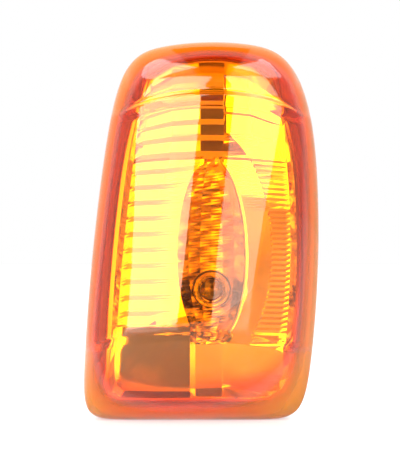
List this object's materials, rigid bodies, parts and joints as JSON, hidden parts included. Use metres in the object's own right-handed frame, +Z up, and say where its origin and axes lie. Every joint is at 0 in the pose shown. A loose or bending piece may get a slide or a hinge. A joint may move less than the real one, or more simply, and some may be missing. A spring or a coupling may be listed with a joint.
{
  "type": "side repeater lamp",
  "caption": "Amber side repeater lamp of a door mirror, with a deep wrapped lens over a faceted reflector, on a housing with a twist-in bulb holder.",
  "frame": {"origin": "on the floor under the middle of the whole lamp, the lamp standing on its flat foot", "axes": "+X to the right seen from the front, the front faces -Y, the fixings leave along +Y, +Z up"},
  "size_m": [0.0664, 0.064, 0.105],
  "materials": {
    "amber_lens": "glossy amber acrylic",
    "bright_metallising": "bright vacuum metallising",
    "grey_abs": "light grey moulded plastic",
    "sealant": "cured sealant",
    "screw_steel": "zinc plated",
    "black_rubber": "matt rubber",
    "grey_nylon": "satin moulded plastic",
    "contact_brass": "tinned brass",
    "amber_glass": "glossy amber glass",
    "filament_wire": "drawn wire",
    "lead_wire": "drawn wire"
  },
  "bodies": {
    "root": {"lens": "amber_lens", "reflector": "bright_metallising", "reflector_screws": "screw_steel", "housing": "grey_abs", "lens_sealant": "sealant", "vent_cap": "black_rubber", "bulb_holder": "grey_nylon", "holder_seal": "black_rubber", "contact_left": "contact_brass", "contact_right": "contact_brass", "bulb_glass": "amber_glass", "bulb_filament": "filament_wire", "bulb_lead_left": "lead_wire", "bulb_lead_right": "lead_wire"}
  },
  "joints": []
}
